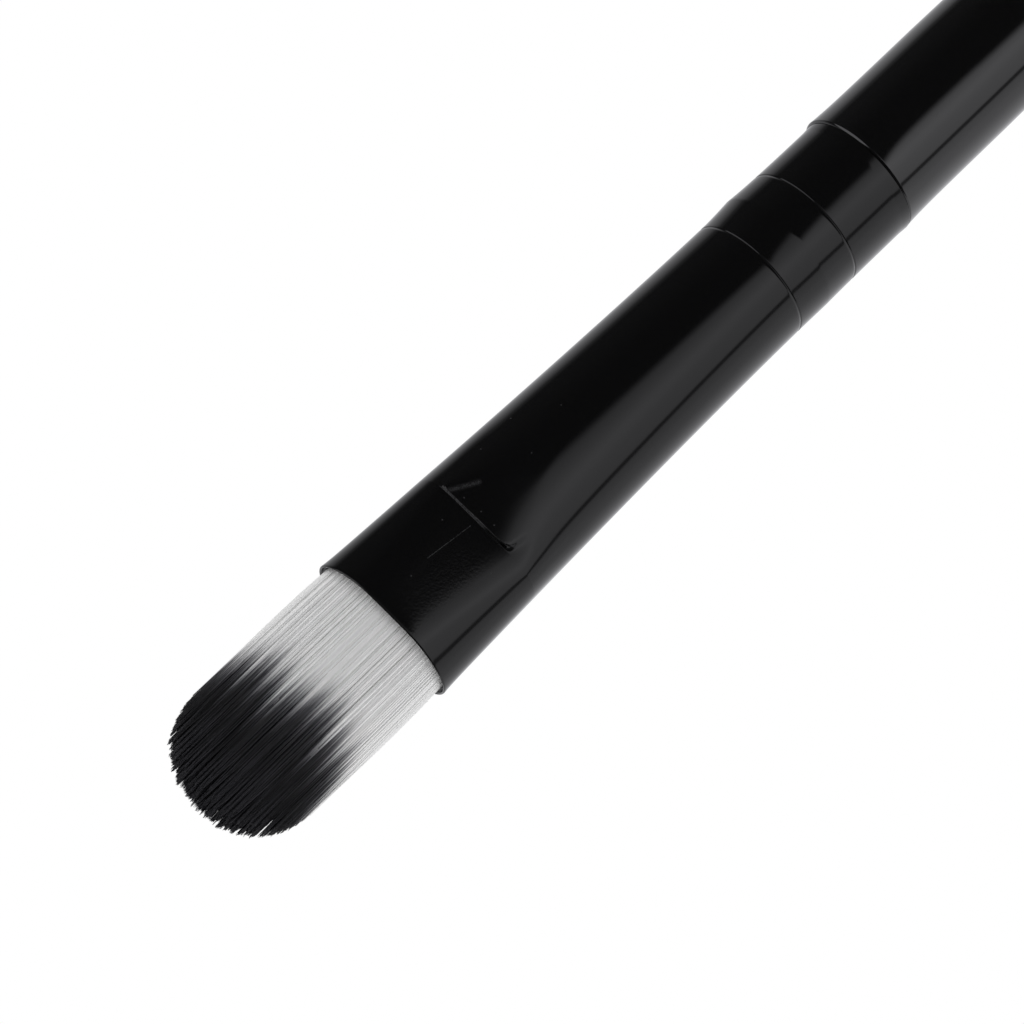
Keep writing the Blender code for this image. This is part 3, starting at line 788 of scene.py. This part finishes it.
# ---- The table, the lights and the camera ------------------------------------------------------
# The brush lies on a white table. A wide soft box hangs over its near side and a second stands
# lower with a gap between them, the far side of the room is dark, and a lamp stands at its left.
def glow(name):
    """A material that only gives out light. Gives it with its bench and its emission node."""
    material = bpy.data.materials.new(name)
    material.use_nodes = True
    tree = material.node_tree
    tree.nodes.clear()
    bench = Bench(tree)
    light = bench.add("ShaderNodeEmission")
    out = tree.nodes.new("ShaderNodeOutputMaterial")
    tree.links.new(light.socket, out.inputs["Surface"])
    return material, bench, light.socket.node


# How much more blue than red the light holds.
COOL = 1.03


def stand(name, points, faces, material):
    """One piece of the studio."""
    mesh = bpy.data.meshes.new(name)
    mesh.from_pydata([tuple(point) for point in points], [], faces)
    mesh.materials.append(material)
    piece = bpy.data.objects.new(name, mesh)
    bpy.context.scene.collection.objects.link(piece)
    return piece


# White to the camera. In the gloss it is bright on the near side of the brush and darkens over a
# short way on the far side. Ahead of the tip it is even.
TABLE = 2.5
TABLE_DROP = -0.0002
SHEEN_HALF_WIDTH = 0.03
SHEEN = (
    (0.0, 0.66), (0.2, 0.72), (0.35, 0.8), (0.45, 0.95), (0.58, 0.74), (0.625, 0.6), (0.67, 0.54),
    (0.73, 0.4), (0.82, 0.15), (1.0, 0.05))
AHEAD = (-0.08, -0.07)
table_finish, bench, light = glow("white_table")
ray = bench.add("ShaderNodeLightPath")
seen = {end.name: Wire(bench, end) for end in ray.socket.node.outputs}
place = bench.parts(bench.add("ShaderNodeTexCoord", None, None, "Object"))
sheen = bench.add("ShaderNodeValToRGB", {"stops": [
    (position, (level, level, level * COOL)) for position, level in SHEEN]},
    {"Fac": place[1] / (2 * SHEEN_HALF_WIDTH) + 0.5})
ahead = bench.add("ShaderNodeMix", {"data_type": "RGBA"}, {
    "Factor": bench.ramp(place[0], *AHEAD), "A": (0.8, 0.8, 0.82, 1), "B": sheen})
colour = bench.add("ShaderNodeMix", {"data_type": "RGBA"}, {
    "Factor": seen["Is Camera Ray"] + seen["Is Diffuse Ray"], "A": ahead, "B": (1, 1, 1, 1)})
strength = seen["Is Camera Ray"] + seen["Is Glossy Ray"] + seen["Is Diffuse Ray"]
bench.tree.links.new(colour.socket, light.inputs["Color"])
bench.tree.links.new(strength.socket, light.inputs["Strength"])
stand("table", [(-TABLE, -TABLE, TABLE_DROP), (TABLE, -TABLE, TABLE_DROP),
                (TABLE, TABLE, TABLE_DROP), (-TABLE, TABLE, TABLE_DROP)],
      [(0, 1, 2, 3)], table_finish)

# The soft boxes and the dark side of the room, as one half-round tunnel over the brush. Angles are
# measured from straight up towards the near side. The upper box lies square to the camera, so that
# its far edge crosses the brush aslant.
TUNNEL_RADIUS = 0.5
TUNNEL_HALF_LENGTH = 1.2
TUNNEL_LAST_ANGLE = 96
TUNNEL_STEPS = 96
ROOM_LEVEL = (0.022, 0.05)
SOFT_LIGHT = (0.4, 1.6)
BOX_EDGE = 0.302
BOX_EDGE_SOFTNESS = (-4, 9)
GAP = 67.4
BOXES = (
    (4, 0.5), (14, 0.66), (21, 0.78), (28, 0.86), (33, 0.83), (41, 0.74), (53, 0.66),
    (GAP - 6, 0.6), (GAP - 3.5, 0.42), (GAP - 1.5, 0.1), (GAP + 1.5, 0.1), (GAP + 3.5, 0.38),
    (GAP + 7, 0.54), (84, 0.58), (92, 0.64))
BOXES_LEFT_END = (-0.14, -0.08)
tunnel_finish, bench, light = glow("soft_boxes")
place = bench.parts(bench.add("ShaderNodeTexCoord", None, None, "Object"))
degrees = 180 / math.pi
angle = (-place[1]).math("ARCTAN2", place[2]) * degrees
edge = (place[0] / place[2].math("MAXIMUM", 0.02) - BOX_EDGE).math("ARCTANGENT") * degrees
inside = bench.ramp(angle - edge, *BOX_EDGE_SOFTNESS).math(
    "MAXIMUM", angle.math("GREATER_THAN", GAP))
level = bench.add("ShaderNodeFloatCurve", {"curve": [
    (at / 100, level) for at, level in BOXES]}, {"Value": angle / 100})
level = level * inside * bench.ramp(place[0], *BOXES_LEFT_END)
level = level + bench.ramp(abs(angle), 40, TUNNEL_LAST_ANGLE, *ROOM_LEVEL)
ray = bench.add("ShaderNodeLightPath")
matt = Wire(bench, ray.socket.node.outputs["Is Diffuse Ray"])
level = level + (bench.ramp(abs(angle + 4), 0, 85, *SOFT_LIGHT) - level) * matt
bench.tree.links.new(bench.vector(level, level, level * COOL).socket, light.inputs["Color"])
points = []
for step in range(TUNNEL_STEPS + 1):
    turn = math.radians(TUNNEL_LAST_ANGLE) * (2 * step / TUNNEL_STEPS - 1)
    for end in (-1, 1):
        points.append((end * TUNNEL_HALF_LENGTH, -TUNNEL_RADIUS * math.sin(turn),
                       TUNNEL_RADIUS * math.cos(turn)))
tunnel = stand("soft_boxes", points, [(2 * step, 2 * step + 1, 2 * step + 3, 2 * step + 2)
                                      for step in range(TUNNEL_STEPS)], tunnel_finish)

# A tall lamp ahead of the tip on the far side, which only gloss sees.
LAMP_LEVEL = 0.95
LAMP_ENDS = ((-0.42, 0.14), (-0.08, 0.43))
LAMP_HEIGHT = 0.42
lamp_finish, bench, light = glow("left_lamp")
light.inputs["Color"].default_value = (LAMP_LEVEL, LAMP_LEVEL, LAMP_LEVEL * COOL, 1)
lamp = stand("left_lamp", [(*LAMP_ENDS[0], 0), (*LAMP_ENDS[1], 0), (*LAMP_ENDS[1], LAMP_HEIGHT),
                           (*LAMP_ENDS[0], LAMP_HEIGHT)], [(0, 1, 2, 3)], lamp_finish)
lamp.visible_camera = False
lamp.visible_diffuse = False
lamp.visible_shadow = False
lamp.visible_transmission = False
tunnel.visible_camera = False
tunnel.visible_shadow = False
tunnel.visible_transmission = False

ROOM_IN_GLOSS = 0.03
ROOM_LIGHT = 0.5
world = bpy.data.worlds.new("studio")
world.use_nodes = True
world.node_tree.nodes.clear()
bench = Bench(world.node_tree)
ray = bench.add("ShaderNodeLightPath")
seen = {end.name: Wire(bench, end) for end in ray.socket.node.outputs}
room_level = seen["Is Glossy Ray"] * ROOM_IN_GLOSS + (1 - seen["Is Glossy Ray"]) * ROOM_LIGHT
room = bench.add("ShaderNodeBackground", None, {
    "Color": (1, 1, 1, 1),
    "Strength": seen["Is Camera Ray"] + (1 - seen["Is Camera Ray"]) * room_level})
out = world.node_tree.nodes.new("ShaderNodeOutputWorld")
world.node_tree.links.new(room.socket, out.inputs["Surface"])
bpy.context.scene.world = world

# The camera looks down on the tip, a little from the near side, with the brush running off to
# the upper right.
TILT = math.radians(18.602)
SIDE = math.radians(2.055)
TURN = math.radians(43.745)
DISTANCE = 397.65
AIM = Vector((10.325, -0.244, 0.0))
towards = Vector((-math.sin(TILT) * math.cos(SIDE), -math.sin(SIDE),
                  math.cos(TILT) * math.cos(SIDE)))
lengthways = (Vector((1, 0, 0)) - towards * towards.x).normalized()
sideways = towards.cross(lengthways)
right = lengthways * math.cos(TURN) - sideways * math.sin(TURN)
top = lengthways * math.sin(TURN) + sideways * math.cos(TURN)
turned = laid.to_3x3().normalized()
camera = bpy.data.objects.new("camera", bpy.data.cameras.new("camera"))
camera.data.lens = 250
camera.data.sensor_width = 36
camera.data.clip_start = 0.01
camera.data.clip_end = 20
basis = Matrix((turned @ right, turned @ top, turned @ towards)).transposed().to_4x4()
camera.matrix_world = Matrix.Translation(laid @ (AIM + towards * DISTANCE)) @ basis
bpy.context.scene.collection.objects.link(camera)
bpy.context.scene.camera = camera
bpy.context.scene.view_settings.view_transform = "Standard"
